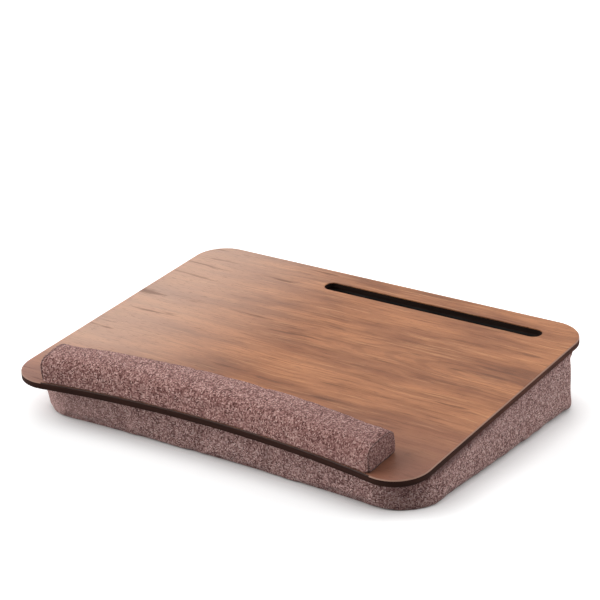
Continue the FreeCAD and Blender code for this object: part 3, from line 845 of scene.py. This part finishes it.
def cover_fold(travelled, drop, place, facing):
    """How far the cover stands out: a roll under the rim, staple pulls, corner pleats and loose waves."""
    height = place.z
    roll = 0.0009 * hump(drop, 0.0028, 0.0060) - 0.0008 * hump(drop, 0.0040, 0.0120)
    roll *= 0.6 + 0.9 * uneven(travelled * 17, 0.3, 0.0)
    phase = (travelled / staple_step) % 1.0 - 0.5
    pull = -0.0008 * hump(phase, 0.09) * math.exp(-drop / 0.010)
    pull += 0.0005 * hump(abs(phase), 0.10, 0.22) * math.exp(-drop / 0.012)
    turning = min(1.0, abs(facing.x * facing.y) * 3)
    slant = (travelled + drop * 0.6) / pleat_step
    pleat = slant % 1.0 - 0.5
    reach = 0.015 + 0.006 * uneven(math.floor(slant) * 3.7, 1.0, 0.0)
    pleats = 0.0016 * hump(pleat, 0.11, 0.20) - 0.0034 * hump(pleat, 0.095)
    pleats *= turning * hump(drop, reach)
    spread = 0.0028 * max(facing.x, 0.0) ** 2 * min(1.0, max(0.0, (place.y + 0.07) / 0.07))
    drawn = 0.0018 * max(-facing.y, 0.0) ** 2 + 0.0030 * max(-facing.x, 0.0) ** 2
    drawn += 0.0060 * max(0.0, -facing.x * facing.y)
    lean = (spread - drawn) * hump(height, 0.020)
    corner = 0.0026 * max(0.0, -facing.x * 0.83 - facing.y * 0.55 - 0.80) / 0.20 * min(1.0, height / 0.02)
    loose = 0.0010 * uneven(travelled * 14, height * 22, 4.0)
    loose += 0.0004 * uneven(travelled * 45, height * 60, 9.0)
    foot = 0.0012 * uneven(travelled * 26, 7.0, 0.0) * hump(height, 0.009)
    return roll + pull + pleats + lean + corner + loose + foot - 0.0009


def press_folds(cover):
    """Push the cover's points in and out along its folds."""
    laid = cover.data.uv_layers["cloth"].data
    travelled = {}
    for loop in cover.data.loops:
        travelled[loop.vertex_index] = laid[loop.index].uv[0]
    for point, normal in zip(cover.data.vertices, facings_of(cover)):
        facing = Vector((normal.x, normal.y, 0))
        drop = under_board(point.co.y) - point.co.z
        if facing.length < 0.2 or drop < rim_gap:
            continue
        facing.normalize()
        free = min(1.0, (drop - rim_gap) / rim_turn) * min(1.0, point.co.z / 0.003)
        if facing.x < -0.97:
            free *= 1.0 - near_mouth(point.co.y, 0.022, 0.011)
        point.co += facing * (free * cover_fold(travelled[point.index], drop, point.co, facing))
    cover.data.update()


def cut_mouth(cover):
    """Take out the cover's faces inside the drawer's mouth."""
    mesh = bmesh.new()
    mesh.from_mesh(cover.data)
    gone = []
    for face in mesh.faces:
        middle = face.calc_center_median()
        inside = mouth_low.y < middle.y < mouth_high.y and mouth_low.z < middle.z < mouth_high.z
        if inside and middle.x < -cushion_half + mouth_reach:
            gone.append(face)
    bmesh.ops.delete(mesh, geom=gone, context="FACES")
    mesh.to_mesh(cover.data)
    mesh.free()


def build_cushion_cover():
    """Lay out the side cover, let it settle, cut the drawer's mouth and press in its folds."""
    outline = cushion_outline()
    lines = [cover_line(point, facing) for point, facing in outline]
    rows = len(lines[0])
    points = [place for line in lines for place in line]
    cover = piece_from("cushion_cover", points, quads(len(lines), rows, round_lines=True), base_linen)
    lay_threads(cover, outline, lines)
    held = []
    last = round_rows + wall_rows
    for column, (point, facing) in enumerate(outline):
        beside = facing.x < -0.99 and near_mouth(point.y, 0.014, 0.010) > 0
        held += [column * rows + row for row in range(rows) if row == 0 or row > last or beside]
    settle(cover, held, 3.0, 0.010, 0.0016)
    cut_mouth(cover)
    rework(cover, "SUBSURF", levels=1, render_levels=1)
    press_folds(cover)
    rework(cover, "SOLIDIFY", thickness=cover_thickness, offset=-1.0)
    return cover


def grip_fabric():
    """Dark underside cloth with small rows of rubbery grip dots."""
    new_material("grip_fabric")
    place, x, y, z = point_of()
    from_u = number("FRACT", x * 220.0) - 0.5
    from_v = number("FRACT", y * 220.0) - 0.5
    dot = between(number("SQRT", from_u * from_u + from_v * from_v), 0.20, 0.27, 1.0, 0.0)
    weave = cloudy(vector(x * 900.0, y * 2200.0), 1.0, 3.0)
    cloth = colours(weave, [(0.3, (52, 48, 48)), (0.7, (78, 73, 72))])
    return finished(Base_Color=blend(dot, cloth, shade(30, 29, 30)),
                    Roughness=between(dot, 0.0, 1.0, 0.9, 0.5),
                    Normal=relief(weave * 0.3 + dot, 0.0004, 0.8))


def build_underside():
    """The flat panel under the cushion, with its edge rolled up into the seam."""
    outline = [(point - facing * cushion_edge) for point, facing in cushion_outline()]
    middle = sum(outline, Vector((0, 0))) / len(outline)
    rings = [(1.0, 0.0009), (0.985, 0.0002)] + [(share, 0.0) for share in (0.955, 0.88, 0.72, 0.48, 0.22)]
    points = []
    for share, lift in rings:
        points += [middle.lerp(place, share).to_3d() + Vector((0, 0, lift)) for place in outline]
    count = len(outline)
    faces = quads(len(rings), count, round_size=True)
    inner = len(points) - count
    faces += [(inner + (column + 1) % count, inner + column, len(points)) for column in range(count)]
    points.append(middle.to_3d())
    panel = piece_from("cushion_underside", points, faces, grip_fabric())
    rework(panel, "SOLIDIFY", thickness=cover_thickness, offset=-1.0)
    return panel


# The 0.30 is how far painted shade darkens the cover's foot.
base_linen = linen("cushion_linen", side_shades, 0.85, 0.30, True)
front_linen = linen("drawer_linen", side_shades, 0.80)
cushion_cover = build_cushion_cover()
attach(cushion_cover, "desk")
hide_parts("cover_wall", "foam_front", "foam_rear", "foam_right", "foam_under", "foam_over")
underside = build_underside()
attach(underside, "desk")
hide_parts("cover_bottom")


# Drawer sleeve: a black moulded box in the foam, its mouth framed by a bezel
# bonded over the cut edge of the cover. Two slippery strips on its floor carry
# the tray, and two magnets on its end wall hold the drawer shut.
runner_plastic = worked_surface("runner_plastic", (14.0, 1500.0, 0.0), 3.0, (188, 188, 184), (214, 214, 210),
                                (0.3, 0.7), (0.22, 0.40))
nickel_plate = worked_surface("nickel_plate", (260.0, 260.0, 260.0), 3.0, (178, 176, 170), (205, 203, 197),
                              (0.3, 0.7), (0.12, 0.24), 1.0)
dress(["drawer_sleeve", "drawer_bezel", "drawer_stops"], black_moulding)
dress(["runner_strips"], runner_plastic)
dress(["catch_magnets"], nickel_plate)


# Drawer tray: a black moulding with a felt mat on its floor. Its front board is
# screwed on from inside, and steel plates on its rear wall meet the magnets.
mat_corner = 0.004
mat_columns, mat_rows = 46, 34
mat_soft_edge = 0.0003


def grey_felt():
    """Pressed felt: a cloudy grey with fine tangled fibres."""
    new_material("grey_felt")
    place = put("TexCoord", "Object")
    fibre = cloudy(place, 2300.0, 4.0, 0.7, 1.2)
    tone = colours(cloudy(place, 150.0, 4.0, 0.6), [(0.3, (112, 102, 96)), (0.7, (134, 124, 117))])
    tone = blend(between(fibre, 0.5, 0.75, 0.0, 0.6), tone, shade(164, 154, 146))
    return finished(Base_Color=tone, Roughness=0.95, Sheen_Weight=0.2, Normal=relief(fibre, 0.00025, 0.8))


def build_felt_mat():
    """A felt sheet with rounded corners that lies a little uneven on the tray's floor."""
    low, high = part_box("drawer_liner")
    middle = (low + high) / 2
    points = []
    for row in range(mat_rows + 1):
        for column in range(mat_columns + 1):
            x = low.x + (high.x - low.x) * column / mat_columns
            y = low.y + (high.y - low.y) * row / mat_rows
            dx = max(low.x + mat_corner - x, x - high.x + mat_corner, 0.0)
            dy = max(low.y + mat_corner - y, y - high.y + mat_corner, 0.0)
            away = math.hypot(dx, dy)
            if dx > 0 and dy > 0 and away > mat_corner:
                x += math.copysign(dx * (1 - mat_corner / away), middle.x - x)
                y += math.copysign(dy * (1 - mat_corner / away), middle.y - y)
            lift = 0.00012 * uneven(x * 60, y * 60, 2.0)
            points.append(Vector((x, y, high.z - 0.00015 + lift)))
    faces = quads(mat_rows + 1, mat_columns + 1, turned=True)
    mat = piece_from("drawer_mat", points, faces, grey_felt())
    rework(mat, "SOLIDIFY", thickness=high.z - low.z - 0.0003, offset=-1.0)
    rework(mat, "BEVEL", width=mat_soft_edge, segments=2)
    return mat, high.x - low.x, high.y - low.y


dress(["drawer_tray"], black_moulding)
dress(["drawer_front_board"], hardboard)
dress(["front_screws", "catch_plates"], plated_steel)
felt_mat, mat_width, mat_length = build_felt_mat()
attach(felt_mat, "drawer")
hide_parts("drawer_liner")


# Drawer front: thin foam on a stiff board, covered in the cushion's linen and
# top-stitched all round. The pull's strap comes out through a slit in it.
front_skin = 0.0015
front_hold = 0.0050
stitch_length = 0.0026
stitch_pitch = 0.0042
stitch_inset = 0.0038
stitch_radius = 0.00028
stitch_sides = 6
front_low, front_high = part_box("drawer_front_cover")
pull_low, pull_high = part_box("pull_tab")
pull_width = pull_high.y - pull_low.y
pull_middle = (pull_low.y + pull_high.y) / 2
slit_height = pull_high.z - 0.001


def rounded_block(low, high, bend):
    """A block whose edges round the low X face are rounded, as points and faces."""
    mesh = bmesh.new()
    bmesh.ops.create_cube(mesh, size=1.0)
    middle, size = (low + high) / 2, high - low
    for vertex in mesh.verts:
        vertex.co = Vector([vertex.co[axis] * size[axis] + middle[axis] for axis in range(3)])
    rim = [edge for edge in mesh.edges if min(end.co.x for end in edge.verts) < middle.x]
    bmesh.ops.bevel(mesh, geom=rim, offset=bend, segments=4, profile=0.5, affect="EDGES")
    mesh.verts.index_update()
    points = [vertex.co.copy() for vertex in mesh.verts]
    faces = [[vertex.index for vertex in face.verts] for face in mesh.faces]
    mesh.free()
    return points, faces


def build_drawer_front():
    """Skin the padded front evenly, let it swell, then press in the slit and the stitched line."""
    inset = Vector((0.0006, 0.0003, 0.0003))
    points, faces = rounded_block(front_low + inset, front_high - Vector((0, 0.0003, 0.0003)), 0.0023)
    front = piece_from("drawer_front_pad_cover", points, faces, front_linen)
    rework(front, "REMESH", mode="VOXEL", voxel_size=front_skin)
    held = [point.index for point in front.data.vertices if point.co.x > front_low.x + front_hold]
    settle(front, held, 4.0, 0.006, 0.0006)
    rework(front, "SUBSURF", levels=1, render_levels=1)
    for point, facing in zip(front.data.vertices, facings_of(front)):
        place = point.co
        if facing.x > -0.3:
            place.y = min(max(place.y, front_low.y), front_high.y)
            place.z = min(max(place.z, front_low.z), front_high.z)
            continue
        edge = min(min(inside.yz) for inside in (place - front_low, front_high - place))
        groove = 0.00035 * hump(edge, 0.0009, stitch_inset)
        beside = max(abs(place.y - pull_middle) - pull_width / 2, 0.0)
        slit = 0.0013 * hump(place.z, 0.0016, slit_height) * hump(beside, 0.002)
        place.x += groove + slit
    front.data.update()
    return front


def stitch(points, faces, middle, along, outward):
    """Add one sunk stitch of thread: a short flat bead that dips at both ends."""
    side = along.cross(outward).normalized()
    start = len(points)
    rings = [(-0.5, 0.25, -1.2), (-0.32, 1.0, 0.1), (0.0, 1.1, 0.55), (0.32, 1.0, 0.1), (0.5, 0.25, -1.2)]
    for share, width, lift in rings:
        centre = middle + along * (share * stitch_length) + outward * (lift * stitch_radius)
        for step in range(stitch_sides):
            angle = 2 * math.pi * step / stitch_sides
            spoke = side * math.cos(angle) + outward * math.sin(angle) * 0.8
            points.append(centre + spoke * (stitch_radius * width))
    faces += quads(len(rings), stitch_sides, round_size=True, turned=True, start=start)
    faces.append(tuple(reversed(range(start, start + stitch_sides))))
    faces.append(tuple(range(len(points) - stitch_sides, len(points))))


def sewing_thread():
    """Twisted light brown thread."""
    new_material("sewing_thread")
    place, x, y, z = point_of()
    twist = number("SINE", (y + z + x) * 9000.0)
    tone = colours(between(twist, -1.0, 1.0), [(0.2, (122, 95, 86)), (0.8, (176, 146, 134))])
    return finished(Base_Color=tone, Roughness=0.7, Normal=relief(twist, 0.0001, 0.5))


def drawer_front_surface(y, z):
    """Where the cover's face is, at one place on the drawer's front."""
    bpy.context.view_layer.update()
    hit, place, facing, face = drawer_front.ray_cast(Vector((front_low.x - 0.05, y, z)), Vector((1, 0, 0)))
    return place.x if hit else front_low.x


def stitched_line(corners):
    """Stitches round a closed line on the drawer's front, their places found on the cover itself."""
    points, faces = [], []
    for start, end in zip(corners, corners[1:] + corners[:1]):
        run = end - start
        count = int(run.length / stitch_pitch)
        for step in range(count):
            spot = start + run * ((step + 0.5) / count)
            middle = Vector((drawer_front_surface(spot.x, spot.y), spot.x, spot.y))
            stitch(points, faces, middle, Vector((0, run.x, run.y)).normalized(), Vector((-1, 0, 0)))
    return points, faces


drawer_front = build_drawer_front()
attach(drawer_front, "drawer")
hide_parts("drawer_front_cover", "drawer_front_pad")
sides = (front_low.y + stitch_inset, front_high.y - stitch_inset)
levels = (front_low.z + stitch_inset, front_high.z - stitch_inset)
stitch_corners = [Vector((sides[across], levels[up])) for across, up in ((0, 0), (1, 0), (1, 1), (0, 1))]
front_stitching = piece_from("drawer_front_stitching", *stitched_line(stitch_corners), sewing_thread())
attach(front_stitching, "drawer")


# Pull: a folded leather-look strap, thinned at its edges, with a stitched border.
# It passes the slit and is clamped behind the drawer's front board.
strap_half = 0.0010
strap_round = 0.0055
strap_hang = 0.017
strap_fold = 0.0012
strap_border = 0.0022
strap_columns = 16
fold_steps = 5
hang_steps = 14


def strap_leather():
    """Dark brown grained leather cloth, darker along the lines of its grain."""
    new_material("strap_leather")
    place = put("TexCoord", "Object")
    cells = put("TexVoronoi", "Distance", {"feature": "DISTANCE_TO_EDGE"}, Vector=place, Scale=1100.0)
    cloud = cloudy(place, 180.0, 3.0)
    tone = colours(cloud, [(0.3, (66, 42, 31)), (0.7, (92, 61, 46))])
    tone = blend(between(cells, 0.0, 0.12, 0.55, 0.0), tone, shade(44, 27, 20))
    return finished(Base_Color=tone, Roughness=between(cloud, 0.3, 0.7, 0.42, 0.56),
                    Normal=relief(between(cells, 0.0, 0.15), 0.00012, 0.6))


def strap_path():
    """The strap's path in depth and height: out of the slit, round the fold and down."""
    top = pull_high.z - strap_half
    outside = pull_low.x + strap_half
    line = [(pull_high.x - 0.0022, top), (front_low.x + 0.001, top), (outside + strap_fold, top)]
    line += [(outside + left, top - gone) for left, gone in quarter(strap_fold, fold_steps)[1:]]
    hang = max(pull_low.z, pull_high.z - strap_hang)
    start = top - strap_fold
    for step in range(1, hang_steps + 1):
        share = step / hang_steps
        line.append((outside - 0.0002 * math.sin(math.pi * share), start + (hang - start) * share))
    return line, hang


def build_pull():
    """Sweep the strap along its path, thin at its edges, with a stitched border and a rounded tip."""
    line, hang = strap_path()
    section = [-0.5 + step / strap_columns for step in range(strap_columns + 1)]
    points = []
    for index, (x, z) in enumerate(line):
        ahead = line[min(index + 1, len(line) - 1)]
        behind = line[max(index - 1, 0)]
        run = Vector((ahead[0] - behind[0], 0, ahead[1] - behind[1])).normalized()
        out = Vector((run.z, 0, -run.x))
        left = z - hang
        narrow = 1.0
        if index > 7 and left < strap_round:
            rounded = strap_round - math.sqrt(max(strap_round ** 2 - (strap_round - left) ** 2, 0.0))
            narrow = 1.0 - rounded / (pull_width / 2)
        for side in (1, -1):
            for place in section[::side]:
                thin = 1.0 - 0.55 * max(0.0, abs(place) * 2 - 0.86) / 0.14
                from_border = abs(place) * pull_width - pull_width / 2 + strap_border
                offset = out * side * (strap_half * thin - 0.00018 * hump(from_border, 0.0006))
                points.append(Vector((x, pull_middle + place * pull_width * narrow, z)) + offset)
    ring = 2 * len(section)
    faces = quads(len(line), ring, round_size=True, turned=True)
    faces += [tuple(reversed(range(ring))), tuple(range(len(points) - ring, len(points)))]
    return piece_from("drawer_pull", points, faces, strap_leather())


pull = build_pull()
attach(pull, "drawer")
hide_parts("pull_tab")
